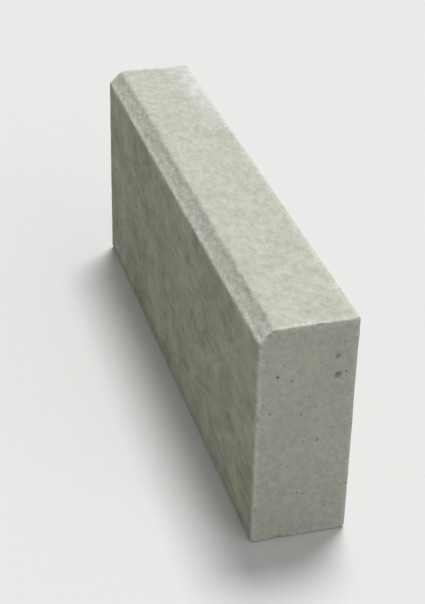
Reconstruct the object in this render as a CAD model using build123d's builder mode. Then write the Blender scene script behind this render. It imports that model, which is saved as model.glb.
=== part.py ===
from build123d import *
import os

# A concrete kerb stone of the small edging kind, cast in one piece and stood on its long narrow bed.
# +X runs along the stone, the bevelled front face looks towards -Y, the plain back towards +Y and
# +Z is up. The origin is the middle of the bed, and every size is in millimetres.

# The block
LENGTH = 500.0  # from end to end
WIDTH = 80.0  # from the front face to the back
HEIGHT = 200.0  # from the bed to the top

# The bevel along the top of the front face
BEVEL_ACROSS = 12.0  # how far it reaches over the top
BEVEL_DOWN = 12.0  # how far it reaches down the front

# The rounded corners of the section
CREST_RADIUS = 5.5  # where the bevel meets the top
ARRIS_RADIUS = 3.0  # where the bevel meets the front face
BACK_RADIUS = 1.0  # where the top meets the back
BED_RADIUS = 3.0  # where the bed meets the front and the back

# The square ends
END_RADIUS = 1.5  # all round each end

# The section is drawn in the YZ plane: its first coordinate runs from front to back and its
# second one upwards. Each corner is given with the radius that rounds it.
FRONT = -WIDTH / 2
BACK = WIDTH / 2
CORNERS = {
    (FRONT, 0): BED_RADIUS,
    (BACK, 0): BED_RADIUS,
    (BACK, HEIGHT): BACK_RADIUS,
    (FRONT + BEVEL_ACROSS, HEIGHT): CREST_RADIUS,
    (FRONT, HEIGHT - BEVEL_DOWN): ARRIS_RADIUS,
}

with BuildPart() as kerb_stone:
    with BuildSketch(Plane.YZ) as section:
        with BuildLine() as outline:
            FilletPolyline(*CORNERS.keys(), radius=CORNERS.values(), close=True)
        make_face()
    extrude(amount=LENGTH / 2, both=True)
    edge_rows = kerb_stone.edges().group_by(Axis.X)
    fillet(edge_rows[0] + edge_rows[-1], END_RADIUS)

kerb_stone.part.label = "kerb_stone"

os.makedirs("parts", exist_ok=True)
export_step(kerb_stone.part, "parts/kerb_stone.step")
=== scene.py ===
"""A straight concrete kerb stone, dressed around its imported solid.

The stone is one casting, so it is one closed skin. The sharp outline of its section is carried
along the stone and a grid closes each end. Every point of that skin then slides along a spoke of
its own until it meets the worn surface: flat faces with a faint cast relief, rounded arrises, a
ragged crest, nicks and blow holes. Lengths are metres, +X runs along the stone, the bevelled
front looks towards -Y and +Z is up.
"""

import logging
import math
from dataclasses import dataclass, replace
from enum import Enum
from functools import reduce
from typing import Dict, Optional, Sequence, Tuple, Union

import bpy
import numpy as np
from mathutils import Matrix, Vector


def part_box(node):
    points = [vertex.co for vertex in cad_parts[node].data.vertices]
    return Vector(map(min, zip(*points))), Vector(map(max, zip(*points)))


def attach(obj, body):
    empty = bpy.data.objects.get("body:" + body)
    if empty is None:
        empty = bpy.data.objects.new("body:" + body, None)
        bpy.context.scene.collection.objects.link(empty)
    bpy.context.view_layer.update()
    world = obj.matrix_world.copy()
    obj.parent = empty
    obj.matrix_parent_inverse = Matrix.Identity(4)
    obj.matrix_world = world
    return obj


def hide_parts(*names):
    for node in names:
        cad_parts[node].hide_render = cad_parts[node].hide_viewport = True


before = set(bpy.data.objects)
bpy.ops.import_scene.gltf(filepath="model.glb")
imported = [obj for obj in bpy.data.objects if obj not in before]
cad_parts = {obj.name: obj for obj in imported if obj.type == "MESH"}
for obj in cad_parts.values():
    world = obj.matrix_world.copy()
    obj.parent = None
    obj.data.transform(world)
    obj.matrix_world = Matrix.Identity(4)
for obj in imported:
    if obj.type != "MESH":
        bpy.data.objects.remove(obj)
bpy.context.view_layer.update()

MM = 0.001
SAME = 0.001 * MM
"""Places closer together than this count as one."""
NODE = "kerb_stone"
BODY = "root"

log = logging.getLogger("kerb")

Array = np.ndarray
Colour = Tuple[float, float, float]
Place = Tuple[float, float, float]
Span = Tuple[float, float]
Socket = bpy.types.NodeSocket

WHITE: Colour = (1.0, 1.0, 1.0)


class Side(Enum):
    """The flat sides of the section, in order round it from the bed's front corner."""

    BED = 0
    BACK = 1
    TOP = 2
    BEVEL = 3
    FRONT = 4


END_COLUMN = len(Side)
"""Where the ends stand in an array that has one column for each side."""


class Edge(Enum):
    """The long edges of the stone, each between two sides of the section, and the end edges."""

    BED_BACK = (Side.BED, Side.BACK)
    BACK_TOP = (Side.BACK, Side.TOP)
    CREST = (Side.TOP, Side.BEVEL)
    ARRIS = (Side.BEVEL, Side.FRONT)
    FRONT_BED = (Side.FRONT, Side.BED)
    END = None


class Trace(Enum):
    """What the skin remembers of its shape for its materials, as attributes of its points."""

    FROM_ARRIS = "from_arris"
    """Metres from the arris: positive up the bevel, negative down the front."""
    FROM_CREST = "from_crest"
    """Metres from the crest: positive down the bevel, negative over the top."""
    FROM_EDGE = "from_edge"
    """Metres from the nearest of the other long edges."""
    FROM_END = "from_end"
    """Metres from the nearest edge of an end."""
    BEVEL = "bevel"
    """1 on the bevel, 0 off it."""
    FRONT = "front"
    """1 on the front, 0 off it."""
    UPRIGHT = "upright"
    """1 on all the upright faces, 0 off them."""
    NICK = "nick"
    """1 in a nick, 0 out of it."""
    HOLE = "hole"
    """1 in a blow hole, 0 out of it."""


class Shift(Enum):
    """How far off the noise is read for its different uses, in metres."""

    SWING = 0.11
    FINE = 0.31
    SWAY = 0.57
    FRAY = 0.83


class Lattice:
    """A repeatable block of random arrows, read as smooth noise in three directions."""

    CELLS = 32
    """How many cells the block has each way before it repeats."""
    SPREAD = 1.6
    """What brings the sum of the arrows' shares to about 1 either way."""
    FADE = 0.6
    """The weight of each layer of noise as a share of the one before."""
    STEP = 7.3
    """How many of the first layer's cells lie between where one layer is read and the next."""

    def __init__(self, seed: int) -> None:
        """Fills the block with arrows one unit long.

        Args:
            seed: chooses the arrows.
        """
        arrows = np.random.default_rng(seed).normal(size=(self.CELLS,) * 3 + (3,))
        self.arrows = arrows / np.linalg.norm(arrows, axis=-1, keepdims=True)

    def read(self, points: Array, size: float, stretch: Sequence[float] = (1, 1, 1)) -> Array:
        """Smooth noise at many points.

        Each point is divided by the cell's size. Each of the eight arrows round it gives the dot
        product of itself and the way from its corner to the point. They are blended with the
        weights 6f^5 - 15f^4 + 10f^3 of the point's place f in the cell, in each direction.

        Args:
            points: an (n, 3) array of places.
            size: the length of one cell of the noise.
            stretch: how many times longer the cell is along X, Y and Z.

        Returns:
            n numbers about nought, seldom past 1 either way.
        """
        place = points / (size * np.asarray(stretch, float))
        low = np.floor(place).astype(int)
        within = place - low
        share = within**3 * (within * (within * 6.0 - 15.0) + 10.0)
        total = np.zeros(len(points))
        for corner in np.ndindex(2, 2, 2):
            weight = np.prod(np.where(corner, share, 1.0 - share), axis=1)
            cell = (low + corner) % self.CELLS
            arrow = self.arrows[cell[:, 0], cell[:, 1], cell[:, 2]]
            total += weight * np.sum(arrow * (within - corner), axis=1)
        return self.SPREAD * total

    def layered(
        self, points: Array, size: float, layers: int, stretch: Sequence[float] = (1, 1, 1)
    ) -> Array:
        """Noise on noise: each layer has half the size and the faded weight of the one before.

        The sum is divided by the root of the summed squares of the weights, which keeps its
        spread the same for any number of layers.

        Args:
            points: an (n, 3) array of places.
            size: the cell of the first layer.
            layers: how many layers there are.
            stretch: as for read.

        Returns:
            n numbers about nought.
        """
        weights = self.FADE ** np.arange(layers)
        total = np.zeros(len(points))
        for layer, weight in enumerate(weights):
            total += weight * self.read(points + self.STEP * layer * size, size / 2**layer, stretch)
        return total / math.sqrt(float(np.sum(weights**2)))

    def shares(self, points: Array, size: float) -> Array:
        """Two layers of noise as shares: 0.5 where the noise is nought, held between 0 and 1."""
        return np.clip(0.5 + 0.5 * self.layered(points, size, layers=2), 0.0, 1.0)


def stations(length: float, cells: int, finest: float, coarse: Span, reach: float) -> Array:
    """Places along a line that stand closest together at its ends.

    The wanted step grows from the finest at an end to the coarse one at the reach. It is turned
    over into a crowd of places per metre. The crowd is summed along the line, and the sum is read
    back at even shares.

    Args:
        length: the line's length.
        cells: how many steps it is cut into.
        finest: the wanted step at both ends, up to a factor that all the steps share.
        coarse: the wanted step away from them, which changes evenly from the start to the end.
        reach: how far from an end it is met.

    Returns:
        cells + 1 distances from 0 to length.
    """
    samples = 4001
    along = np.linspace(0.0, length, samples)
    share = np.clip(np.minimum(along, length - along) / reach, 0.0, 1.0)
    crowd = 1.0 / (finest + (np.linspace(*coarse, samples) - finest) * share)
    steps = (crowd[1:] + crowd[:-1]) / 2 * np.diff(along)
    total = np.concatenate(([0.0], np.cumsum(steps)))
    return np.interp(np.linspace(0.0, total[-1], cells + 1), total, along)


def grid_quads(rows: int, columns: int, closed: bool = False) -> Array:
    """The quads of a grid whose point (i, j) has the number i * columns + j.

    Args:
        rows: how many points i counts.
        columns: how many points j counts.
        closed: whether the last column is joined to the first.

    Returns:
        An (n, 4) array. Each quad goes from (i, j) to i + 1, then to j + 1 and back.
    """
    i, j = np.meshgrid(np.arange(rows - 1), np.arange(columns if closed else columns - 1), indexing="ij")
    here, after = i * columns + j, i * columns + (j + 1) % columns
    return np.stack([here, here + columns, after + columns, after], axis=-1).reshape(-1, 4)


def rounded(a: Array, b: Array, width: Union[float, Array]) -> Array:
    """The larger of two heights, blended into a round where they differ by less than width.

    With h = max(width - |a - b|, 0), it is max(a, b) + h^2 / (4 width).

    Args:
        a: one height over a face, positive outside it.
        b: the other.
        width: how far apart they still blend.

    Returns:
        The blended height.
    """
    near = np.maximum(width - np.abs(a - b), 0.0)
    return np.maximum(a, b) + near * near / (4.0 * width)


def eased(value: Array, low: float, high: float) -> Array:
    """A smooth step from 0 at low to 1 at high, 3f^2 - 2f^3 of the share f between them."""
    share = np.clip((value - low) / (high - low), 0.0, 1.0)
    return share * share * (3.0 - 2.0 * share)


@dataclass(frozen=True)
class Section:
    """The kerb's section in the YZ plane: a tall block with a bevel along its front top edge."""

    width: float
    height: float
    bevel_across: float = 12.0 * MM
    bevel_down: float = 12.0 * MM

    def corners(self) -> Array:
        """The sharp corners (y, z) in the order of Side: side k runs from corner k to k + 1."""
        across = np.array([0.0, self.width, self.width, self.bevel_across, 0.0]) - self.width / 2
        return np.c_[across, (0.0, 0.0, self.height, self.height, self.arris_height)]

    @property
    def arris_height(self) -> float:
        """How high up the front the bevel starts."""
        return self.height - self.bevel_down

    def side(self, number: int) -> Array:
        """The two corners between which a side runs."""
        return np.roll(self.corners(), -number, axis=0)[:2]

    def lines(self) -> Tuple[Array, Array]:
        """The straight lines of the sides.

        Returns:
            The outward unit normal (y, z) of each, and how far along it each line lies.
        """
        corners = self.corners()
        along = np.roll(corners, -1, axis=0) - corners
        normals = np.c_[along[:, 1], -along[:, 0]] / np.linalg.norm(along, axis=1)[:, None]
        return normals, np.sum(normals * corners, axis=1)

    def heights(self, points: Array) -> Array:
        """How far each (y, z) point lies outside each side's line, with a column for each."""
        normals, reach = self.lines()
        return points @ normals.T - reach

    def turn(self, edge: Edge) -> float:
        """The angle between the outward normals of the faces that meet at an edge.

        Args:
            edge: a long edge, or END, where every face meets the end squarely.

        Returns:
            The angle in radians.
        """
        if edge is Edge.END:
            return math.pi / 2
        first, second = (self.lines()[0][side.value] for side in edge.value)
        return math.acos(float(np.dot(first, second)))

    def drawn_in(self, inset: float) -> Array:
        """The outline with every side moved inwards.

        Args:
            inset: how far.

        Returns:
            Its corners.
        """
        normals, reach = self.lines()
        pairs = [[k - 1, k] for k in range(len(normals))]
        return np.array([np.linalg.solve(normals[pair], reach[pair] - inset) for pair in pairs])

    def nearest_inside(self, points: Array, inset: float) -> Array:
        """The nearest point of what the drawn-in outline encloses, to each point.

        Each side of the outline offers its nearest point: the start plus the share of the side
        that the point's shadow on it marks, held between 0 and 1. The closest offer wins.

        Args:
            points: (n, 2) places (y, z) on or inside the sharp outline.
            inset: how far the outline is drawn in.

        Returns:
            (n, 2) places.
        """
        inner = self.drawn_in(inset)
        best = points.copy()
        outside = np.max(self.heights(points), axis=1) > -inset
        nearest = np.where(outside, np.inf, 0.0)
        for start, end in zip(inner, np.roll(inner, -1, axis=0)):
            along = end - start
            share = np.clip((points - start) @ along / (along @ along), 0.0, 1.0)
            offer = start + share[:, None] * along
            distance = np.linalg.norm(points - offer, axis=1)
            closer = distance < nearest
            best[closer] = offer[closer]
            nearest[closer] = distance[closer]
        return best


class Scoops:
    """Hollows cut out of the stone, each a rough ellipsoid: nicks in edges or holes in faces."""

    TRAVEL = 6.0 * MM
    """How far a point can lie from a hollow on the sharp skin and still travel into it."""
    GRAIN = 2.4 * MM
    """The size of the noise that makes them rough."""

    def __init__(
        self, base: Array, centres: Array, radii: Array, roughness: float, lattice: Lattice
    ) -> None:
        """Finds which points each hollow can reach, and how noise sways the radii at each point.

        Args:
            base: the sharp skin.
            centres: the middle of each hollow.
            radii: its three radii.
            roughness: how much noise sways the radii, as a share of them.
            lattice: the noise.
        """
        self.centres, self.radii, self.near = centres, radii, []
        for centre, reach in zip(centres, np.max(radii, axis=1) + self.TRAVEL):
            self.near.append(np.flatnonzero(np.max(np.abs(base - centre), axis=1) < reach))
        self.swayed = 1.0 + roughness * lattice.layered(base, self.GRAIN, layers=2)

    def depths(self, points: Array) -> Array:
        """How deep each point lies in the deepest hollow, or a large negative number elsewhere.

        In one hollow it is (1 - |q|) times the smallest radius, where q is the point seen from
        the centre with each direction divided by its radius.

        Args:
            points: the skin's points, wherever they have moved to.

        Returns:
            One depth for each, positive inside a hollow.
        """
        out_of_reach = -1.0
        deepest = np.full(len(points), out_of_reach)
        for centre, radius, near in zip(self.centres, self.radii, self.near):
            seen = (points[near] - centre) / (radius * self.swayed[near][:, None])
            depth = (1.0 - np.linalg.norm(seen, axis=1)) * np.min(radius)
            deepest[near] = np.maximum(deepest[near], depth)
        return deepest


@dataclass(frozen=True)
class EdgeWear:
    """How one edge of the casting is worn."""

    radius: float
    """Its middling radius."""
    nicks: int
    """How many nicks it has."""
    nick_depth: float
    """How deep they are in the middle of their spread."""


# The bed meets the front and the back with the radius of BED_BACK.
EDGE_WEAR = {
    Edge.BED_BACK: EdgeWear(3.0 * MM, 10, 2.4 * MM),
    Edge.BACK_TOP: EdgeWear(1.0 * MM, 22, 1.2 * MM),
    Edge.CREST: EdgeWear(5.5 * MM, 4, 1.0 * MM),
    Edge.ARRIS: EdgeWear(3.0 * MM, 8, 0.8 * MM),
    Edge.FRONT_BED: EdgeWear(3.0 * MM, 10, 2.4 * MM),
    Edge.END: EdgeWear(1.8 * MM, 26, 1.4 * MM),
}
HOLES = {Side.BED: 6, Side.BACK: 9, Side.FRONT: 7}
"""How many blow holes the sides have."""


@dataclass(frozen=True)
class Wear:
    """How the casting's faces and edges depart from a drawn block."""

    cast_relief: float = 0.28 * MM
    """Depth of the broad hollows of every face."""
    cast_size: float = 55.0 * MM
    skin_relief: float = 0.14 * MM
    """Depth of the fine unevenness on top of them."""
    skin_size: float = 6.0 * MM
    bevel_sway: float = 0.65 * MM
    """How far the bevel's plane sways in and out, which makes the crest wander."""
    sway_size: float = 12.0 * MM
    sway_stretch: float = 1.6
    uneven: float = 0.5
    """How much an edge's radius swings about its middle, as a share of it."""
    uneven_size: float = 22.0 * MM
    uneven_limits: Span = (0.4, 2.0)
    blunted: float = 0.9
    """How much rounder the crest and the arris are at the ends, as a share of their radius."""
    blunt_reach: float = 14.0 * MM
    """How far from the ends they are rounder."""
    fray: float = 0.16 * MM
    """How deep an edge is frayed between its nicks."""
    fray_size: float = 4.5 * MM
    fray_reach: float = 4.0 * MM
    """How far from an edge it is frayed."""
    nick_spread: Span = (0.67, 1.33)
    """The least and the greatest depth of a nick, as shares of its edge's own."""
    nick_length: Span = (1.2, 3.2)
    """How long a nick is at the least and at most, in its own depths."""
    nick_roughness: float = 0.35
    nick_shows: Span = (-0.4 * MM, 0.2 * MM)
    """Between which depths in a nick its trace grows."""
    end_holes: int = 3
    """How many blow holes each end has."""
    smallest_hole: float = 1.3 * MM
    largest_hole: float = 3.0 * MM
    hole_shape: Span = (0.85, 1.3)
    """How far each radius of a blow hole strays from its size, as shares of it."""
    hole_roughness: float = 0.25
    hole_shows: Span = (-0.3 * MM, -0.05 * MM)
    """Between which depths in a blow hole its trace grows. Points on its wall have a depth of nought."""
    hole_margin: float = 13.0 * MM
    """How far a blow hole keeps from the edges, and how far the points are drawn towards it."""
    hole_draw: float = 0.32
    """How close together the points stand at a blow hole, as a share of their usual gap."""
    nick_lip: float = 0.3 * MM
    hole_lip: float = 0.15 * MM
    """How softly the rims of nicks and of blow holes are broken."""


@dataclass
class KerbStone:
    """The one piece: a straight kerb stone, cast whole."""

    length: float
    section: Section
    wear: Wear = Wear()
    inset: float = 6.0 * MM
    """How far inside the sharp outline the spokes start."""
    cells_along: int = 300
    cells_across: int = 62
    cells_bevel: int = 18
    cells_up: int = 84
    finest: float = 0.45 * MM
    """The gap between points at an edge."""
    coarse_along: float = 1.7 * MM
    reach_along: float = 7.0 * MM
    """The gap along X away from the ends, and how far from an end it is met."""
    coarse_across: float = 2.0 * MM
    reach_across: float = 5.0 * MM
    """The same round the section."""
    coarser_down: float = 0.6
    """How much larger the gap is at the bed than at the top, as a share of it."""
    rounds: int = 16
    """How many times the points are moved towards the worn surface."""
    seed: int = 20

    def __post_init__(self) -> None:
        """Makes the noise that every method of the stone shares."""
        self.lattice = Lattice(self.seed)

    def side_stations(self, side: Side, cells: int) -> Array:
        """Points (y, z) along one side of the section, crowded at its edges.

        Args:
            side: which side.
            cells: how many steps it is cut into.

        Returns:
            cells + 1 points, both corners among them.
        """
        start, end = self.section.side(side.value)
        length = float(np.linalg.norm(end - start))
        depths = 1.0 - np.array([start[1], end[1]]) / self.section.height
        coarse = self.coarse_across * (1.0 + self.coarser_down * depths)
        places = stations(length, cells, self.finest, tuple(coarse), self.reach_across)
        return start + np.outer(places / length, end - start)

    def outline(self) -> Array:
        """The section's points in order round it.

        Returns:
            An (n, 2) array of places (y, z), with each corner once.
        """
        wide, high, slope = self.cells_across, self.cells_up, self.cells_bevel
        counts = zip(Side, (wide, high, wide - slope, slope, high))
        return np.vstack([self.side_stations(side, cells)[:-1] for side, cells in counts])

    def barrel(self) -> Tuple[Array, Array]:
        """The outline carried along the stone: point (i, j) is outline point j at place i.

        Returns:
            The points and the quads between them, facing outwards.
        """
        outline, coarse = self.outline(), (self.coarse_along, self.coarse_along)
        places = stations(self.length, self.cells_along, self.finest, coarse, self.reach_along)
        points = np.empty((len(places), len(outline), 3))
        points[:, :, 0] = places[:, None] - self.length / 2
        points[:, :, 1:] = outline
        quads = grid_quads(len(places), len(outline), closed=True)
        other_way_round = [0, 3, 2, 1]
        return points.reshape(-1, 3), quads[:, other_way_round]

    def end(self, towards: int) -> Tuple[Array, Array]:
        """A grid over one end whose rim is the outline.

        It is a Coons patch: the blend of the bed and the top with its bevel, plus the blend of
        the front and the back, less the blend of the four corners that both hold.

        Args:
            towards: 1 for the end at +X, -1 for the one at -X.

        Returns:
            The points and the quads between them, facing outwards.
        """
        outline = self.outline()
        wide, high = self.cells_across, self.cells_up
        ring = np.vstack([outline, outline[:1]])
        bed = ring[: wide + 1]
        back = ring[wide : wide + high + 1]
        top = ring[wide + high : 2 * wide + high + 1][::-1]
        front = ring[2 * wide + high :][::-1]
        s = np.linspace(0.0, 1.0, wide + 1)[:, None, None]
        t = np.linspace(0.0, 1.0, high + 1)[None, :, None]
        bed_and_top = (1 - t) * bed[:, None] + t * top[:, None]
        front_and_back = (1 - s) * front[None] + s * back[None]
        corners = (1 - t) * ((1 - s) * bed[0] + s * bed[-1]) + t * ((1 - s) * top[0] + s * top[-1])
        points = np.empty((wide + 1, high + 1, 3))
        points[:, :, 0] = towards * self.length / 2
        points[:, :, 1:] = bed_and_top + front_and_back - corners
        quads = grid_quads(wide + 1, high + 1)
        return points.reshape(-1, 3), quads if towards > 0 else quads[:, ::-1]

    def sharp_skin(self) -> Tuple[Array, Array]:
        """The barrel and both ends, welded where they share points.

        Returns:
            The points of a closed skin with sharp edges, and its quads.
        """
        parts = [self.barrel(), self.end(1), self.end(-1)]
        starts = np.cumsum([0] + [len(points) for points, _ in parts[:-1]])
        points = np.vstack([points for points, _ in parts])
        quads = np.vstack([quads + start for (_, quads), start in zip(parts, starts)])
        decimals = 8
        merged = np.round(points, decimals)
        _, first, place = np.unique(merged, axis=0, return_index=True, return_inverse=True)
        return points[first], place.reshape(-1)[quads]

    def crowded(self, base: Array, centres: Array) -> Array:
        """Draws the skin's points towards places on its faces, so that a small hole has enough.

        Within the margin of a place, a point on its face at a distance r moves to
        r (k + (1 - k) s), where s is a smooth step of r over the margin and k the draw.

        Args:
            base: the sharp skin.
            centres: the places.

        Returns:
            The moved points.
        """
        closest, margin = self.wear.hole_draw, self.wear.hole_margin
        moved = base.copy()
        for centre in centres:
            away = moved - centre
            near = (np.linalg.norm(away, axis=1) < margin) & (np.min(np.abs(away), axis=1) < SAME)
            share = eased(np.linalg.norm(away[near], axis=1), 0.0, margin)[:, None]
            moved[near] = centre + away[near] * (closest + (1.0 - closest) * share)
        return moved

    def spokes(self, base: Array) -> Tuple[Array, Array]:
        """The inward direction of each point's spoke, and the spoke's length.

        A spoke runs to the nearest point of a slimmer stone inside this one, so spokes stand
        square on the faces, fan round the edges and never cross.

        Args:
            base: the sharp skin.

        Returns:
            Unit vectors, and lengths.
        """
        limit = self.length / 2 - self.inset
        inner = self.section.nearest_inside(base[:, 1:], self.inset)
        inward = np.c_[np.clip(base[:, 0], -limit, limit), inner] - base
        lengths = np.linalg.norm(inward, axis=1)
        return inward / lengths[:, None], lengths

    def on_edge(self, edge: Edge, count: int, draw: np.random.Generator) -> Array:
        """Random places on one of the stone's edges.

        Args:
            edge: a long edge, or END for the edges round both ends.
            count: how many.
            draw: the source of random numbers.

        Returns:
            A (count, 3) array.
        """
        if edge is Edge.END:
            sides = np.array([self.section.side(k) for k in draw.integers(0, len(Side), count)])
            share = draw.random(count)[:, None]
            flat = sides[:, 0] * (1 - share) + sides[:, 1] * share
            return np.c_[draw.choice((-1, 1), count) * self.length / 2, flat]
        corner = self.section.corners()[edge.value[1].value]
        along = draw.uniform(-0.5, 0.5, count) * self.length
        return np.c_[along, np.tile(corner, (count, 1))]

    def nicks(self, base: Array) -> Scoops:
        """Small chips out of the edges, longer along an edge than they are deep.

        Args:
            base: the sharp skin.

        Returns:
            The hollows that cut them.
        """
        draw = np.random.default_rng(self.seed + 1)
        wear = self.wear
        centres, radii = [], []
        for edge, worn in EDGE_WEAR.items():
            depth = worn.nick_depth * draw.uniform(*wear.nick_spread, (worn.nicks, 1))
            long = depth * draw.uniform(*wear.nick_length, (worn.nicks, 1))
            centres.append(self.on_edge(edge, worn.nicks, draw))
            radii.append(np.hstack([depth, long, long] if edge is Edge.END else [long, depth, depth]))
        return Scoops(base, np.vstack(centres), np.vstack(radii), wear.nick_roughness, self.lattice)

    def hole_places(self) -> Array:
        """Where air was left against the mould, in the faces that are hidden once it is laid.

        Returns:
            An (n, 3) array of places on the sharp skin, each at least the margin from an edge.
        """
        draw = np.random.default_rng(self.seed + 2)
        margin = self.wear.hole_margin
        places = []
        for side, count in HOLES.items():
            start, end = self.section.side(side.value)
            inset = margin / float(np.linalg.norm(end - start))
            share = draw.uniform(inset, 1.0 - inset, count)[:, None]
            along = draw.uniform(-1.0, 1.0, count) * (self.length / 2 - margin)
            places.append(np.c_[along, start * (1 - share) + end * share])
        for towards in (-1, 1):
            count = self.wear.end_holes
            across = draw.uniform(-1.0, 1.0, count) * (self.section.width / 2 - margin)
            up = draw.uniform(margin, self.section.arris_height - margin, count)
            places.append(np.c_[np.full(count, towards * self.length / 2), across, up])
        return np.vstack(places)

    def holes(self, base: Array, places: Array) -> Scoops:
        """The blow holes: most are small, and a few are twice as wide.

        Args:
            base: the sharp skin.
            places: the middle of each one's mouth.

        Returns:
            The hollows that cut them.
        """
        draw = np.random.default_rng(self.seed + 3)
        wear = self.wear
        growth = (wear.largest_hole - wear.smallest_hole) * draw.random(len(places)) ** 2
        radii = (wear.smallest_hole + growth)[:, None] * draw.uniform(*wear.hole_shape, (len(places), 3))
        return Scoops(base, places, radii, wear.hole_roughness, self.lattice)

    def edge_width(self, edge: Edge, base: Array) -> Array:
        """How wide an edge blends at each point, for a radius that swings along the edge.

        An edge of radius r that turns by an angle a is blended over 4 r (1 - cos(a / 2)). The
        radii of the crest and the arris grow towards the ends.

        Args:
            edge: which edge.
            base: the sharp skin.

        Returns:
            One width for each point.
        """
        wear = self.wear
        # Edges whose names are equally long swing alike.
        aside = Shift.SWING.value * (1 + len(edge.name))
        swing = self.lattice.layered(base + aside, wear.uneven_size, layers=3)
        radius = EDGE_WEAR[edge].radius * np.clip(1.0 + wear.uneven * swing, *wear.uneven_limits)
        if edge in (Edge.CREST, Edge.ARRIS):
            from_end = self.length / 2 - np.abs(base[:, 0])
            radius *= 1.0 + wear.blunted * eased(from_end, wear.blunt_reach, 0.0)
        return 4.0 * radius * (1.0 - math.cos(self.section.turn(edge) / 2))

    def reliefs(self, base: Array) -> Array:
        """How far each side's surface lies inside its plane at each point.

        Every side has a broad relief and a fine one, always inwards. The bevel sways in and out
        besides, but not at the arris, which stays straight.

        Args:
            base: the sharp skin.

        Returns:
            A column for each side and a last one for the ends.
        """
        wear, lattice = self.wear, self.lattice
        fine = lattice.shares(base + Shift.FINE.value, wear.skin_size)
        depth = wear.cast_relief * lattice.shares(base, wear.cast_size) + wear.skin_relief * fine
        reliefs = np.repeat(depth[:, None], END_COLUMN + 1, axis=1)
        above_arris = base[:, 2] - self.section.arris_height
        free = eased(above_arris, 0.0, self.section.bevel_down / 2)
        drawn = (wear.sway_stretch, 1, 1)
        sway = lattice.layered(base + Shift.SWAY.value, wear.sway_size, layers=3, stretch=drawn)
        reliefs[:, Side.BEVEL.value] += wear.bevel_sway * sway * free
        return reliefs

    def settle(self, base: Array, places: Array) -> Tuple[Array, Dict[Trace, Array]]:
        """Slides every point of the sharp skin along its spoke to the worn surface.

        The worn surface is where the height outside it is nought. That height is the blend of the
        heights over the sides and ends, cut by the nicks and the holes. It never falls faster
        than the distance travelled, so stepping by the height itself comes to rest on it.

        Args:
            base: the sharp skin.
            places: where the blow holes are.

        Returns:
            The settled points, and what the materials read.
        """
        wear = self.wear
        inward, lengths = self.spokes(base)
        reliefs = self.reliefs(base)
        ragged = self.lattice.layered(base + Shift.FRAY.value, wear.fray_size, layers=2)
        frayed = wear.fray * np.clip(ragged, 0.0, 1.0)
        nicks, holes = self.nicks(base), self.holes(base, places)
        # The front comes first, and each of these joins what is blended before it.
        joins = {
            Side.BEVEL: Edge.ARRIS,
            Side.TOP: Edge.CREST,
            Side.BACK: Edge.BACK_TOP,
            Side.BED: Edge.BED_BACK,
        }
        widths = {edge: self.edge_width(edge, base) for edge in (*joins.values(), Edge.END)}
        furthest_out, furthest_in = -2.0 * wear.bevel_sway, 0.9 * lengths
        travel = np.zeros(len(base))
        for _ in range(self.rounds):
            points = base + travel[:, None] * inward
            over = np.c_[self.section.heights(points[:, 1:]), np.abs(points[:, 0]) - self.length / 2]
            over += reliefs
            height = over[:, Side.FRONT.value]
            for side, edge in joins.items():
                height = rounded(height, over[:, side.value], widths[edge])
            body = height
            height = rounded(height, over[:, END_COLUMN], widths[Edge.END])
            height += frayed * eased(-np.sort(over, axis=1)[:, -2], wear.fray_reach, 0.0)
            in_nick, in_hole = nicks.depths(points), holes.depths(points)
            height = rounded(rounded(height, in_nick, wear.nick_lip), in_hole, wear.hole_lip)
            travel = np.clip(travel + height, furthest_out, furthest_in)
        points = base + travel[:, None] * inward
        return points, self.traces(over, body, in_nick, in_hole)

    def from_edge(self, edge: Edge, first: Array, second: Array) -> Array:
        """How far each point lies from an edge.

        For an edge that turns by an angle a it is (first - second) / sin a. Three times the depth
        under the higher of the two is added, so that a point deep under both counts as far off.

        Args:
            edge: the edge.
            first: the heights over one of its sides.
            second: the heights over the other.

        Returns:
            The distances, positive on the first side and negative on the second.
        """
        deep_counts = 3.0
        along = (first - second) / math.sin(self.section.turn(edge))
        deep = np.maximum(-np.maximum(first, second), 0.0)
        return along + np.copysign(deep_counts * deep, along)

    @staticmethod
    def belongs(over: Array, *columns: int) -> Array:
        """Which points lie on some of the sides.

        Args:
            over: heights over the sides and the ends.
            columns: the columns of those sides.

        Returns:
            1 where the highest of them is the highest of all and 0 elsewhere, with a soft step.
        """
        soft = 0.5 * MM
        others = [k for k in range(END_COLUMN + 1) if k not in columns]
        lead = np.max(over[:, columns], axis=1) - np.max(over[:, others], axis=1)
        return eased(lead, -soft, soft)

    def traces(self, over: Array, body: Array, in_nick: Array, in_hole: Array) -> Dict[Trace, Array]:
        """What each point is, and how far it lies from the edges.

        Args:
            over: heights over the sides and the ends.
            body: the blended height over all the sides.
            in_nick: the depth inside a nick.
            in_hole: the depth inside a hole.

        Returns:
            One array for each trace.
        """
        others = []
        for edge in (Edge.BACK_TOP, Edge.BED_BACK, Edge.FRONT_BED):
            others.append(self.from_edge(edge, *(over[:, side.value] for side in edge.value)))
        bevel, front = over[:, Side.BEVEL.value], over[:, Side.FRONT.value]
        return {
            Trace.FROM_ARRIS: self.from_edge(Edge.ARRIS, bevel, front),
            Trace.FROM_CREST: self.from_edge(Edge.CREST, bevel, over[:, Side.TOP.value]),
            Trace.FROM_EDGE: np.min(np.abs(others), axis=0),
            Trace.FROM_END: np.abs(self.from_edge(Edge.END, body, over[:, END_COLUMN])),
            Trace.BEVEL: self.belongs(over, Side.BEVEL.value),
            Trace.FRONT: self.belongs(over, Side.FRONT.value),
            Trace.UPRIGHT: self.belongs(over, Side.BACK.value, Side.FRONT.value, END_COLUMN),
            Trace.NICK: eased(in_nick, *self.wear.nick_shows),
            Trace.HOLE: eased(in_hole, *self.wear.hole_shows),
        }

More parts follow.
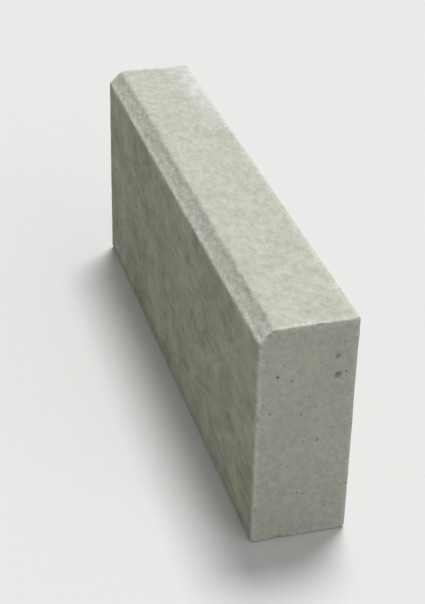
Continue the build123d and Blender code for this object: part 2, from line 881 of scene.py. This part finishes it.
    def build(self) -> bpy.types.Object:
        """Makes the stone's mesh, with its traces as attributes and its bed's faces marked.

        Returns:
            The new object, at the origin.
        """
        base, quads = self.sharp_skin()
        places = self.hole_places()
        base = self.crowded(base, places)
        points, traces = self.settle(base, places)
        mesh = bpy.data.meshes.new("cast_kerb")
        mesh.from_pydata(points.tolist(), [], quads.tolist())
        mesh.update()
        for trace, values in traces.items():
            kept = mesh.attributes.new(trace.value, "FLOAT", "POINT")
            kept.data.foreach_set("value", values.astype(np.float32))
        mesh.polygons.foreach_set("use_smooth", np.ones(len(quads), bool))
        on_bed = np.all(base[quads][:, :, 2] < SAME, axis=1)
        mesh.polygons.foreach_set("material_index", on_bed.astype(np.int32))
        stone = bpy.data.objects.new("cast_kerb", mesh)
        bpy.context.scene.collection.objects.link(stone)
        return stone

    def dress(self, stone: bpy.types.Object, coats: Sequence["Coat"]) -> None:
        """Gives the stone its coats: the moulded faces' one and then the bed's."""
        for coat in coats:
            stone.data.materials.append(coat.build())


def cleared(owner: Union[bpy.types.Material, bpy.types.World]) -> bpy.types.NodeTree:
    """Takes out the nodes that a new material or world starts with.

    Args:
        owner: the material or world.

    Returns:
        Its empty tree.
    """
    owner.use_nodes = True
    owner.node_tree.nodes.clear()
    return owner.node_tree


class NodeBench:
    """Adds nodes to one tree and joins them, so that a recipe reads as a list of steps."""

    ROW = 12
    """How many nodes stand side by side before the next row starts."""
    GAP = (180, -220)
    MIX_INPUTS, MIX_OUTPUT = (0, 6, 7), 2
    """The places of a Mix node's sockets when it mixes colours."""

    def __init__(self, tree: bpy.types.NodeTree) -> None:
        """Starts on a tree without nodes."""
        self.tree = tree
        self.count = 0

    def add(self, kind: str, inputs: Optional[Dict] = None, **settings: object) -> bpy.types.Node:
        """Adds one node. A colour that it is given gets full alpha.

        Args:
            kind: the node's type, such as ShaderNodeTexNoise.
            inputs: a value or another node's output for its sockets, by their name or place.
            settings: values for its properties.

        Returns:
            The node.
        """
        node = self.tree.nodes.new(kind)
        row, column = divmod(self.count, self.ROW)
        node.location = (self.GAP[0] * column, self.GAP[1] * row)
        self.count += 1
        for name, value in settings.items():
            setattr(node, name, value)
        for place, value in (inputs or {}).items():
            socket = node.inputs[place]
            if isinstance(value, bpy.types.NodeSocket):
                self.tree.links.new(value, socket)
            else:
                socket.default_value = (*value, 1.0) if socket.type == "RGBA" else value
        return node

    def maths(self, operation: str, *values: object) -> Socket:
        """One step of arithmetic on numbers."""
        return self.add("ShaderNodeMath", dict(enumerate(values)), operation=operation).outputs[0]

    def chain(self, operation: str, values: Sequence[object]) -> Socket:
        """The same step of arithmetic over two or more values, from the first to the last."""
        return reduce(lambda result, value: self.maths(operation, result, value), values)

    def times(self, *values: object) -> Socket:
        """The product of two or more numbers."""
        return self.chain("MULTIPLY", values)

    def total(self, *values: object) -> Socket:
        """The sum of two or more numbers."""
        return self.chain("ADD", values)

    def highest(self, *values: object) -> Socket:
        """The largest of two or more numbers."""
        return self.chain("MAXIMUM", values)

    def scaled(self, vector: Socket, factor: object) -> Socket:
        """A vector or a colour times another, or times a number, channel by channel."""
        return self.add("ShaderNodeVectorMath", {0: vector, 1: factor}, operation="MULTIPLY").outputs[0]

    def ramp(
        self, value: object, low: object, high: object, first: object = 0.0, last: object = 1.0
    ) -> Socket:
        """Maps low..high to first..last with a smooth step, held at both ends."""
        inputs = {"Value": value, "From Min": low, "From Max": high, "To Min": first, "To Max": last}
        return self.add("ShaderNodeMapRange", inputs, interpolation_type="SMOOTHSTEP").outputs["Result"]

    def fade(self, mask: Socket, first: float, last: float) -> Socket:
        """The first number where a mask is 0 and the last one where it is 1."""
        return self.ramp(mask, 0.0, 1.0, first, last)

    def mix(self, share: object, first: object, second: object) -> Socket:
        """Mixes two colours: the first where the share is nought, the second where it is 1."""
        inputs = dict(zip(self.MIX_INPUTS, (share, first, second)))
        return self.add("ShaderNodeMix", inputs, data_type="RGBA").outputs[self.MIX_OUTPUT]

    def trace(self, trace: Trace) -> Socket:
        """Reads one of the skin's traces."""
        return self.add("ShaderNodeAttribute", attribute_name=trace.value).outputs["Fac"]


class GroupBench(NodeBench):
    """A bench on a new node group, which reads a Vector and numbers and puts out numbers."""

    ROUGHNESS = 0.6
    """The weight of each layer of its noise as a share of the one before."""

    def __init__(self, name: str, **usual: float) -> None:
        """Starts the group.

        Args:
            name: its name.
            usual: the usual value of each input besides the Vector.
        """
        super().__init__(bpy.data.node_groups.new(name, "ShaderNodeTree"))
        self.tree.interface.new_socket("Vector", in_out="INPUT", socket_type="NodeSocketVector")
        for label, value in usual.items():
            socket = self.tree.interface.new_socket(label, in_out="INPUT", socket_type="NodeSocketFloat")
            socket.default_value = value
        self.given = {socket.name: socket for socket in self.add("NodeGroupInput").outputs}

    def close(self, **made: Socket) -> bpy.types.NodeTree:
        """Puts out what the group has made.

        Args:
            made: each output by its name.

        Returns:
            The group.
        """
        for label in made:
            self.tree.interface.new_socket(label, in_out="OUTPUT", socket_type="NodeSocketFloat")
        self.add("NodeGroupOutput", made)
        return self.tree

    def per_metre(self, size: Socket) -> Socket:
        """How many cells of a size there are to a metre."""
        return self.maths("DIVIDE", 1.0, size)

    def noise(self, size: Socket, detail: object) -> Socket:
        """Layered noise about nought.

        Args:
            size: about how far across its largest features are.
            detail: how many layers it has besides the first.

        Returns:
            The noise.
        """
        inputs = {"Vector": self.given["Vector"], "Scale": self.per_metre(size), "Detail": detail}
        inputs["Roughness"] = self.ROUGHNESS
        noise = self.add("ShaderNodeTexNoise", inputs, noise_dimensions="3D")
        return self.maths("SUBTRACT", noise.outputs["Fac"], 0.5)

    def cells(self, vector: Socket, size: Socket) -> Tuple[Socket, bpy.types.NodeOutputs]:
        """A Voronoi pattern whose cells each have luck of their own.

        A cell's colour also says where its point lies, so the luck is white noise of that colour
        and is tied to no direction.

        Args:
            vector: the places to read at.
            size: about how far across a cell is.

        Returns:
            The distance from the cell's point, in cells, and three numbers of luck from 0 to 1.
        """
        inputs = {"Vector": vector, "Scale": self.per_metre(size)}
        cells = self.add("ShaderNodeTexVoronoi", inputs, feature="F1")
        inputs = {"Vector": cells.outputs["Color"]}
        drawn = self.add("ShaderNodeTexWhiteNoise", inputs, noise_dimensions="3D")
        luck = self.add("ShaderNodeSeparateColor", {0: drawn.outputs["Color"]})
        return cells.outputs["Distance"], luck.outputs


class Effects:
    """The shader node groups that the finishes share, each built once."""

    def __init__(self) -> None:
        """Builds the groups."""
        self.mottle = self.make_mottle()
        self.patches = self.make_patches()
        self.sand = self.make_sand()
        self.pits = self.make_pits()
        self.edge_band = self.make_edge_band()

    @staticmethod
    def make_mottle() -> bpy.types.NodeTree:
        """Uneven tone: layered noise about nought, scaled by its strength.

        Returns:
            The group.
        """
        bench = GroupBench("Mottle", Size=10.0 * MM, Detail=3.0, Strength=0.1)
        given = bench.given
        noise = bench.noise(given["Size"], given["Detail"])
        return bench.close(Tone=bench.times(noise, given["Strength"]))

    @staticmethod
    def make_patches() -> bpy.types.NodeTree:
        """Patches of the cement's skin: layered noise parted into lighter and darker, softly.

        Returns:
            The group.
        """
        bench = GroupBench("Patches", Size=3.0 * MM, Detail=2.0, Edge=0.1, Strength=0.1)
        given = bench.given
        noise = bench.noise(given["Size"], given["Detail"])
        parted = bench.ramp(noise, bench.times(given["Edge"], -1.0), given["Edge"], -0.5, 0.5)
        return bench.close(Tone=bench.times(parted, given["Strength"]))

    @staticmethod
    def make_sand() -> bpy.types.NodeTree:
        """Grains of sand: one in each cell of a Voronoi pattern, knocked out of round by noise.

        Tone is lighter or darker inside a grain by its own luck and nought in the paste between
        the grains, and Hue likewise. Height is a dome over each grain, higher at some.

        Returns:
            The group.
        """
        knocks_per_cell, knocked = 1.6, 0.9
        smallest, growth, solid = 0.32, 0.45, 0.7
        dome_reach, least_height = 0.7, 0.3
        bench = GroupBench("Sand", Size=1.5 * MM)
        where, size = bench.given["Vector"], bench.given["Size"]
        inputs = {"Vector": where, "Detail": 1.0}
        inputs["Scale"] = bench.times(bench.per_metre(size), knocks_per_cell)
        knocks = bench.add("ShaderNodeTexNoise", inputs, noise_dimensions="3D").outputs["Color"]
        inputs = {0: knocks, 1: bench.times(size, knocked), 2: where}
        shifted = bench.add("ShaderNodeVectorMath", inputs, operation="MULTIPLY_ADD").outputs[0]
        away, luck = bench.cells(shifted, size)
        reach = bench.total(bench.times(luck[1], growth), smallest)
        grain = bench.ramp(away, bench.times(reach, solid), reach, 1.0, 0.0)
        tone, hue = (bench.times(bench.maths("SUBTRACT", luck[k], 0.5), grain) for k in (0, 2))
        dome = bench.ramp(away, 0.0, dome_reach, 1.0, 0.0)
        height = bench.times(dome, bench.total(luck[1], least_height))
        return bench.close(Tone=tone, Hue=hue, Height=height)

    @staticmethod
    def make_pits() -> bpy.types.NodeTree:
        """Pinholes: in a share of the cells of a Voronoi pattern, a small spot of uneven size.

        Returns:
            The group.
        """
        smallest, solid = 0.4, 0.65
        bench = GroupBench("Pits", Size=6.0 * MM, Share=0.2, Spot=0.12)
        given = bench.given
        away, luck = bench.cells(given["Vector"], given["Size"])
        chosen = bench.maths("LESS_THAN", luck[0], given["Share"])
        reach = bench.times(given["Spot"], bench.total(luck[1], smallest))
        spot = bench.ramp(away, bench.times(reach, solid), reach, 1.0, 0.0)
        return bench.close(Mask=bench.times(chosen, spot))

    @staticmethod
    def make_edge_band() -> bpy.types.NodeTree:
        """A band along an edge, used for worn edges and painted highlights: 1 at the edge and 0 past its
        reach, with a boundary that noise breaks.

        Returns:
            The group.
        """
        detail, full = 3.0, 0.1
        bench = GroupBench("Rubbed", Distance=0.0, Reach=3.0 * MM, Breakup=3.0 * MM, Ragged=3.0)
        given, reach = bench.given, bench.given["Reach"]
        broken = bench.times(bench.noise(given["Breakup"], detail), reach, given["Ragged"])
        shifted = bench.total(given["Distance"], broken)
        return bench.close(Mask=bench.ramp(shifted, bench.times(reach, full), reach, 1.0, 0.0))


@dataclass(frozen=True)
class Layer:
    """One layer of unevenness, made of noise."""

    size: float
    """About how far across its largest features are."""
    strength: float
    detail: float = 3.0
    draw: float = 1.0
    """What X is multiplied by where the noise is read. Below 1, it draws features out along X."""


@dataclass(frozen=True)
class Grains:
    """The stones of one size in the paste."""

    size: float
    strength: float
    """How much lighter or darker than the paste they are."""


@dataclass(frozen=True)
class Pinholes:
    """The pinholes of one size."""

    size: float
    """The size of the cells, each of which holds one pinhole or none."""
    share: float
    """The share of the cells that hold one."""
    spot: float
    """About how far one reaches, in cells."""


@dataclass(frozen=True)
class PaleEdge:
    """How one kind of edge is made pale: by wear, and at the arris also by a painted highlight."""

    reach: float
    strength: float


@dataclass(frozen=True)
class LimeAndHighlight:
    """What lime has left on the top, with a painted highlight: a white rim at the far end, partly lime
    and partly a painted highlight on that end's rounded edge, and a pale band along the back.
    """

    rim_over: Span = (-28.0 * MM, 30.0 * MM)
    """Between which places over the top, from front to back, the rim widens."""
    rim_reach: Span = (3.0 * MM, 13.0 * MM)
    """How far the rim reaches from the end at those two."""
    rim_breakup: float = 6.0 * MM
    rim_ragged: float = 1.2
    band_over: Span = (8.0 * MM, 36.0 * MM)
    """Between which places over the top the band sets in."""
    band_along: Span = (-190.0 * MM, -75.0 * MM)
    """Between which places along the stone it fades."""
    band_strength: float = 0.6
    band_edge: Layer = Layer(9.0 * MM, 22.0 * MM)
    """How its boundary wanders, in metres."""


@dataclass(frozen=True)
class ConcreteFinish:
    """Cast concrete: cement paste with sand in it, what use has done to its surface, and painted
    highlights and shade.
    """

    name: str
    paste: Colour = (0.562, 0.576, 0.486)
    cool: Colour = (0.552, 0.565, 0.489)
    """The paste where its colour has drifted."""
    pale: Colour = (0.760, 0.775, 0.680)
    # A worn edge, and the painted highlight at the arris.
    """A rubbed edge."""
    # The lime, and the painted highlight on the far end's rim.
    limed_and_highlit: Colour = (0.770, 0.775, 0.765)
    hollow: Colour = (0.190, 0.196, 0.155)
    # The inside of a pinhole or a blow hole: painted shade there, with dirt.
    """The inside of a pinhole or a blow hole."""
    front_tint: Colour = (1.04, 1.055, 0.955)
    # What tints the front a little greener and yellower.
    """What tints the front."""
    warm_grain: Colour = (1.012, 1.0, 0.982)
    cool_grain: Colour = (0.988, 1.0, 1.016)
    """What tints the grains, from one kind to the other."""
    bluish: Colour = (0.975, 0.975, 1.05)
    """What tints the spot on the bevel."""
    specular: float = 0.3
    roughness: Span = (0.98, 0.86)
    roughness_tones: Span = (-0.3, 0.3)
    """The roughness where the tone is dark and where it is light, and what dark and light are."""
    clouds: Layer = Layer(45.0 * MM, 0.20)
    blotches: Layer = Layer(6.0 * MM, 0.47, detail=2.0, draw=0.62)
    flecks: Layer = Layer(3.2 * MM, 0.07, detail=2.0, draw=0.62)
    streaks: Layer = Layer(7.0 * MM, 0.36, draw=0.45)
    stains: Layer = Layer(26.0 * MM, 1.0, draw=0.62)
    drift: Layer = Layer(21.0 * MM, 1.0, detail=2.0)
    drift_cools: Span = (0.0, 0.2)
    """Between which values of the drift the paste turns cool."""
    busy_bevel: float = 0.5
    busy_upright: float = -0.2
    """How much stronger blotches and flecks are on the bevel and on the upright faces."""
    paler_bevel: float = 0.035
    sand: Grains = Grains(0.9 * MM, 0.06)
    gravel: Grains = Grains(3.2 * MM, 0.14)
    upright_gravel: float = 0.5
    """How much of the gravel's tone the upright faces show."""
    pinholes: Tuple[Pinholes, Pinholes] = (
        Pinholes(6.1 * MM, 0.14, 0.15),
        Pinholes(3.0 * MM, 0.15, 0.16),
    )
    crowds: Layer = Layer(22.0 * MM, 0.75, detail=1.0)
    """Where pinholes crowd together, as a change of their share."""
    lying_pinholes: float = 0.2
    """How much of a pinhole the faces that aren't upright show."""
    hole_share: float = 0.65
    """How dark a blow hole is beside a pinhole."""
    hollow_shade_share: float = 0.8
    # How much of the paste's colour a pinhole replaces with that painted shade and dirt.
    """How much of the paste's colour a pinhole replaces."""
    nick_tone: float = 0.93
    shelf_shade: float = 0.90
    # How light the nicks and the darker strip under the crest are beside the paste; the strip is painted
    # shade, as if the bevel were slightly hollow under the crest.
    """How light the nicks and the dark strip under the crest are beside the paste."""
    shelf_edge: Layer = Layer(5.0 * MM, 6.0 * MM)
    """How the boundary of that strip wanders, in metres."""
    shelf_starts: Span = (-3.5 * MM, 1.5 * MM)
    shelf_stops: Span = (3.6 * MM, 6.8 * MM)
    """Between which distances down from the crest it sets in, and between which it fades."""
    arris_line: float = 3.0 * MM
    # How far up the bevel the middle of the pale line above the arris lies: a painted highlight on the
    # rounded arris, with some wear.
    """How far up the bevel the middle of the rubbed line above the arris lies."""
    # The pale line above the arris: painted highlight with some wear.
    arris_highlight_and_wear: PaleEdge = PaleEdge(3.2 * MM, 0.7)
    under_arris_highlight_and_wear: PaleEdge = PaleEdge(6.0 * MM, 0.5)
    # The front under the arris: painted light where the arris rounds over, fading down the front, with
    # some wear.
    """The front under the arris."""
    edge_rub: PaleEdge = PaleEdge(5.0 * MM, 0.85)
    pale_edge_breakup: float = 2.4 * MM
    worn_and_highlit_share: float = 0.68
    # How much of the paste's colour a worn edge or the painted highlight at the arris replaces.
    """How much of the paste's colour a rubbed edge replaces."""
    lime_and_highlight: LimeAndHighlight = LimeAndHighlight()
    spot: Place = (70.0 * MM, -32.0 * MM, 196.0 * MM)
    """The middle of the cool spot on the bevel."""
    spot_fades: Span = (4.0 * MM, 13.0 * MM)
    grain_depth: float = 0.10 * MM
    lumps: Layer = Layer(1.8 * MM, 4.0)
    """Unevenness of the fine relief, in heights of a grain."""
    rough_bevel: float = 0.3
    """How much stronger the grains and lumps are on the bevel."""
    pinhole_depth: float = 8.0
    """In heights of a grain."""


class Coat(NodeBench):
    """A bench on a new material, where a finish is laid on the stone."""

    def __init__(self, finish: ConcreteFinish, effects: Effects) -> None:
        """Starts the material and reads the skin once for all the layers.

        Args:
            finish: the colours, sizes and strengths.
            effects: the shared effects.
        """
        self.finish, self.effects = finish, effects
        self.material = bpy.data.materials.new(finish.name)
        super().__init__(cleared(self.material))
        self.where = self.add("ShaderNodeTexCoord").outputs["Object"]
        self.read = {trace: self.trace(trace) for trace in Trace}
        self.bevel, self.front = self.read[Trace.BEVEL], self.read[Trace.FRONT]
        self.upright = self.read[Trace.UPRIGHT]
        self.sand = self.effect(effects.sand, Size=finish.sand.size)
        self.gravel = self.effect(effects.sand, Size=finish.gravel.size)
        self.pitted = self.pits()

    def effect(self, group: bpy.types.NodeTree, **values: object) -> bpy.types.NodeOutputs:
        """Places a shared effect, read in the stone's own space where no Vector is given."""
        values = {"Vector": self.where, **values}
        return self.add("ShaderNodeGroup", values, node_tree=group).outputs

    def layer(self, layer: Layer, group: Optional[bpy.types.NodeTree] = None) -> Socket:
        """Lays one layer.

        Args:
            layer: its size, its strength and how it is drawn out.
            group: the effect that makes it, which is the mottle where none is given.

        Returns:
            Its tone, about nought.
        """
        values = {"Size": layer.size, "Detail": layer.detail, "Strength": layer.strength}
        if layer.draw != 1.0:
            values["Vector"] = self.scaled(self.where, (layer.draw, 1.0, 1.0))
        return self.effect(group or self.effects.mottle, **values)["Tone"]

    def pits(self) -> Socket:
        """A mask of the pinholes, few of which show on the faces that aren't upright.

        Returns:
            The mask.
        """
        finish = self.finish
        crowd = self.layer(finish.crowds)
        masks = []
        for kind in finish.pinholes:
            values = {"Size": kind.size, "Share": self.total(kind.share, crowd), "Spot": kind.spot}
            masks.append(self.effect(self.effects.pits, **values)["Mask"])
        return self.times(self.highest(*masks), self.fade(self.upright, finish.lying_pinholes, 1.0))

    def tone(self) -> Socket:
        """How much lighter or darker than its paste the concrete is, about nought.

        Blotches and flecks are drawn out along the stone, the way the mould was filled. The front
        has streaks and stains besides.

        Returns:
            The tone.
        """
        finish = self.finish
        patchy = self.total(self.layer(finish.blotches), self.layer(finish.flecks, self.effects.patches))
        on_bevel = self.times(self.bevel, finish.busy_bevel)
        busy = self.total(1.0, on_bevel, self.times(self.upright, finish.busy_upright))
        stained = self.total(self.layer(finish.streaks), self.layer(finish.stains))
        shown = self.fade(self.upright, 1.0, finish.upright_gravel)
        return self.total(
            self.layer(finish.clouds),
            self.times(patchy, busy),
            self.times(stained, self.front),
            self.times(self.bevel, finish.paler_bevel),
            self.times(self.sand["Tone"], finish.sand.strength),
            self.times(self.gravel["Tone"], finish.gravel.strength, shown),
        )

    def worn_and_highlit_edges(self) -> Socket:
        """Where edges are pale: a painted highlight with some wear along a line above the arris and
        softly under it, and wear on the other edges.

        Returns:
            A mask.
        """
        finish = self.finish
        from_arris = self.read[Trace.FROM_ARRIS]
        off_line = self.maths("ABSOLUTE", self.maths("SUBTRACT", from_arris, finish.arris_line))
        edge = self.maths("MINIMUM", self.read[Trace.FROM_EDGE], self.read[Trace.FROM_END])
        edge_band, breakup = self.effects.edge_band, finish.pale_edge_breakup
        masks = []
        for distance, rub in ((off_line, finish.arris_highlight_and_wear), (edge, finish.edge_rub)):
            mask = self.effect(edge_band, Distance=distance, Reach=rub.reach, Breakup=breakup)["Mask"]
            masks.append(self.times(mask, rub.strength))
        # Painted light on the front just under the rounded arris, with some wear.
        under = self.ramp(from_arris, -finish.under_arris_highlight_and_wear.reach, 0.0)
        return self.highest(*masks, self.times(under, self.front, finish.under_arris_highlight_and_wear.strength))

    def lime_and_highlight(self) -> Socket:
        """A mask of the lime and of the painted highlight on the far end's rim, by the places and
        distances the finish gives for them.

        Returns:
            The mask.
        """
        lime_and_highlight = self.finish.lime_and_highlight
        place = self.add("ShaderNodeSeparateXYZ", {0: self.where}).outputs
        rim = self.effect(
            self.effects.edge_band,
            Distance=self.read[Trace.FROM_END],
            Reach=self.ramp(place["Y"], *lime_and_highlight.rim_over, *lime_and_highlight.rim_reach),
            Breakup=lime_and_highlight.rim_breakup,
            Ragged=lime_and_highlight.rim_ragged,
        )["Mask"]
        # The rim only at the far end: partly lime, partly a painted highlight where that end's rounded
        # edge faces the key lamp.
        rim = self.times(rim, self.maths("LESS_THAN", place["X"], 0.0))
        band = self.ramp(self.total(place["Y"], self.layer(lime_and_highlight.band_edge)), *lime_and_highlight.band_over)
        band = self.times(band, self.ramp(place["X"], *lime_and_highlight.band_along, lime_and_highlight.band_strength, 0.0))
        return self.times(self.highest(rim, band), self.fade(self.upright, 1.0, 0.0))

    def bluish_spot(self) -> Socket:
        """A mask of the faint cool spot on the bevel.

        Returns:
            The mask.
        """
        inputs = {0: self.where, 1: self.finish.spot}
        away = self.add("ShaderNodeVectorMath", inputs, operation="DISTANCE").outputs["Value"]
        return self.times(self.ramp(away, *self.finish.spot_fades, 1.0, 0.0), self.bevel)

    def shaded_shelf(self) -> Socket:
        """A mask of the darker strip of the bevel under the crest, painted shade as if the bevel were
        slightly hollow there, with ragged boundaries.

        Returns:
            The mask.
        """
        finish = self.finish
        below = self.total(self.read[Trace.FROM_CREST], self.layer(finish.shelf_edge))
        stops = self.ramp(below, *finish.shelf_stops, 1.0, 0.0)
        return self.times(self.ramp(below, *finish.shelf_starts), stops)

    def colour(self, tone: Socket) -> Socket:
        """The paste's colour with its tints and tone, worn edges, lime, nicks and holes, and painted
        light: highlights along the arris and on the far end's rim, shade under the crest and in the
        holes.

        Args:
            tone: how much lighter or darker the concrete is.

        Returns:
            The colour.
        """
        finish = self.finish
        drifted = self.ramp(self.layer(finish.drift), *finish.drift_cools)
        colour = self.mix(drifted, finish.paste, finish.cool)
        # Worn edges and the painted highlight at the arris turn the colour pale.
        colour = self.mix(self.times(self.worn_and_highlit_edges(), finish.worn_and_highlit_share), colour, finish.pale)
        # Lime and the painted highlight on the far end's rim turn the colour whiter.
        colour = self.mix(self.lime_and_highlight(), colour, finish.limed_and_highlit)
        warmest, coolest = -0.5, 0.5
        hue = self.total(self.sand["Hue"], self.gravel["Hue"])
        kind = self.ramp(hue, warmest, coolest)
        # Painted shade: the bevel darkened in a strip under the crest.
        shaded_shelf = self.fade(self.shaded_shelf(), 1.0, finish.shelf_shade)
        nicked = self.fade(self.read[Trace.NICK], 1.0, finish.nick_tone)
        factors = (
            self.mix(self.front, WHITE, finish.front_tint),
            self.mix(kind, finish.warm_grain, finish.cool_grain),
            self.mix(self.bluish_spot(), WHITE, finish.bluish),
            self.times(self.total(1.0, tone), shaded_shelf, nicked),
        )
        for factor in factors:
            colour = self.scaled(colour, factor)
        # Painted shade, with dirt, darkens the pinholes and the blow holes.
        hollows = self.highest(self.pitted, self.times(self.read[Trace.HOLE], finish.hole_share))
        return self.mix(self.times(hollows, finish.hollow_shade_share), colour, finish.hollow)

    def relief(self) -> Socket:
        """The surface's fine relief: grains and lumps standing proud and pinholes sunk.

        Returns:
            The normal.
        """
        finish = self.finish
        proud = self.total(self.sand["Height"], self.gravel["Height"], self.layer(finish.lumps))
        rough = self.total(1.0, self.times(self.bevel, finish.rough_bevel))
        sunk = self.times(self.pitted, -finish.pinhole_depth)
        height = self.total(self.times(proud, rough), sunk)
        inputs = {"Strength": 1.0, "Distance": finish.grain_depth, "Height": height}
        return self.add("ShaderNodeBump", inputs).outputs["Normal"]

    def build(self) -> bpy.types.Material:
        """Joins the layers on one Principled shader.

        Returns:
            The material.
        """
        tone = self.tone()
        inputs = {
            "Base Color": self.colour(tone),
            "Roughness": self.ramp(tone, *self.finish.roughness_tones, *self.finish.roughness),
            "Specular IOR Level": self.finish.specular,
            "Normal": self.relief(),
        }
        shader = self.add("ShaderNodeBsdfPrincipled", inputs)
        self.add("ShaderNodeOutputMaterial", {"Surface": shader.outputs["BSDF"]})
        return self.material


@dataclass(frozen=True)
class Lamp:
    """A distant soft lamp."""

    name: str
    towards: Place
    """The direction from the stone to it."""
    strength: float
    """Its light on a surface square to it."""
    spread: float
    """How many degrees wide it looks from the stone."""

    def build(self) -> None:
        """Hangs the lamp."""
        light = bpy.data.lights.new(self.name, "SUN")
        light.energy = self.strength
        light.angle = math.radians(self.spread)
        holder = bpy.data.objects.new(self.name, light)
        holder.rotation_euler = Vector(self.towards).to_track_quat("Z", "Y").to_euler()
        bpy.context.scene.collection.objects.link(holder)


@dataclass
class Studio:
    """The pale floor, the even sky, the two soft lamps and the camera."""

    aim: Place = (11.6 * MM, -4.8 * MM, 79.5 * MM)
    azimuth: float = 73.38
    elevation: float = 31.30
    roll: float = 1.31
    distance: float = 1.3788
    lens: float = 90.9
    sensor: float = 36.0
    floor_radius: float = 12.0
    floor_seen: Colour = (0.80, 0.80, 0.79)
    floor_bounced: Colour = (0.30, 0.30, 0.29)
    """The floor's colour as the camera sees it, and as it throws light back on the stone."""
    sky: float = 0.30
    sky_seen: float = 1.034
    """The sky's strength as a light, and as the camera sees it in the floor's colour."""
    lamps: Tuple[Lamp, Lamp] = (
        Lamp("key", (-0.30, 0.20, 1.0), 2.20, 18.0),
        Lamp("fill", (1.0, 0.45, 0.35), 0.75, 60.0),
    )
    """The main lamp, high over the back at the far end, and a weak one on the near end."""

    def build_floor(self) -> bpy.types.Object:
        """A round floor: each point is its ring's radius times the cosine and sine of its angle.

        Returns:
            The floor, marked as stage.
        """
        rings, spokes = 6, 96
        radius = self.floor_radius * np.linspace(0.0, 1.0, rings + 1)[1:] ** 2
        angle = np.linspace(0.0, 2 * np.pi, spokes, endpoint=False)
        ringed = np.stack([np.outer(radius, np.cos(angle)), np.outer(radius, np.sin(angle))], axis=-1)
        points = np.vstack([np.zeros((1, 3)), np.c_[ringed.reshape(-1, 2), np.zeros(rings * spokes)]])
        quads = 1 + grid_quads(rings, spokes, closed=True)
        around = np.arange(spokes)
        fan = np.c_[np.zeros(spokes, int), 1 + around, 1 + (around + 1) % spokes]
        mesh = bpy.data.meshes.new("floor")
        mesh.from_pydata(points.tolist(), [], fan.tolist() + quads.tolist())
        mesh.materials.append(self.floor_material())
        floor = bpy.data.objects.new("floor", mesh)
        bpy.context.scene.collection.objects.link(floor)
        return floor

    @staticmethod
    def seen_apart(bench: NodeBench, lighting: Socket, seen: Socket) -> Socket:
        """Mixes two shaders: the first lights other things, the second is what the camera sees."""
        camera_ray = bench.add("ShaderNodeLightPath").outputs["Is Camera Ray"]
        return bench.add("ShaderNodeMixShader", {0: camera_ray, 1: lighting, 2: seen}).outputs[0]

    def floor_material(self) -> bpy.types.Material:
        """Matt and pale as seen, but darker in what it throws back on the stone.

        Returns:
            The material.
        """
        made = bpy.data.materials.new("pale_floor")
        bench = NodeBench(cleared(made))
        shaders = []
        for colour in (self.floor_bounced, self.floor_seen):
            shaders.append(bench.add("ShaderNodeBsdfDiffuse", {"Color": colour}).outputs[0])
        bench.add("ShaderNodeOutputMaterial", {"Surface": self.seen_apart(bench, *shaders)})
        return made

    def build_sky(self) -> None:
        """An even world: dim as a light, and as pale as the floor where the camera sees it."""
        world = bpy.data.worlds.new("studio")
        bpy.context.scene.world = world
        bench = NodeBench(cleared(world))
        shaders = []
        for colour, strength in ((WHITE, self.sky), (self.floor_seen, self.sky_seen)):
            inputs = {"Color": colour, "Strength": strength}
            shaders.append(bench.add("ShaderNodeBackground", inputs).outputs[0])
        bench.add("ShaderNodeOutputWorld", {"Surface": self.seen_apart(bench, *shaders)})

    def build_camera(self) -> None:
        """Stands the camera where the photograph was taken from, tilted by the same roll."""
        turn, rise = math.radians(self.azimuth), math.radians(self.elevation)
        back = Vector((math.sin(turn) * math.cos(rise), -math.cos(turn) * math.cos(rise), math.sin(rise)))
        level = back.to_track_quat("Z", "Y").to_matrix().to_4x4()
        data = bpy.data.cameras.new("camera")
        data.sensor_width = self.sensor
        data.lens = self.lens
        camera = bpy.data.objects.new("camera", data)
        place = Matrix.Translation(Vector(self.aim) + self.distance * back)
        camera.matrix_world = place @ level @ Matrix.Rotation(math.radians(self.roll), 4, "Z")
        bpy.context.scene.collection.objects.link(camera)
        bpy.context.scene.camera = camera

    def build(self) -> None:
        """Builds the whole studio."""
        bpy.context.scene.view_settings.view_transform = "Standard"
        self.build_floor()
        self.build_sky()
        for lamp in self.lamps:
            lamp.build()
        self.build_camera()


def main() -> None:
    """Builds the studio and the stone, and reports the piece."""
    logging.basicConfig(level=logging.INFO, format="%(name)s: %(message)s")
    Studio().build()
    low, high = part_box(NODE)
    size = high - low
    stone = KerbStone(size.x, Section(size.y, size.z))
    piece = stone.build()
    effects = Effects()
    moulded = ConcreteFinish("moulded_concrete")
    struck = ConcreteFinish(
        "struck_concrete",
        blotches=replace(moulded.blotches, strength=0.5),
        sand=replace(moulded.sand, size=2.4 * MM),
        grain_depth=0.5 * MM,
    )
    stone.dress(piece, [Coat(finish, effects) for finish in (moulded, struck)])
    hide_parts(NODE)
    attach(piece, BODY)
    log.info("%s: %d points, %d faces", piece.name, len(piece.data.vertices), len(piece.data.polygons))


if __name__ == "__main__":
    main()
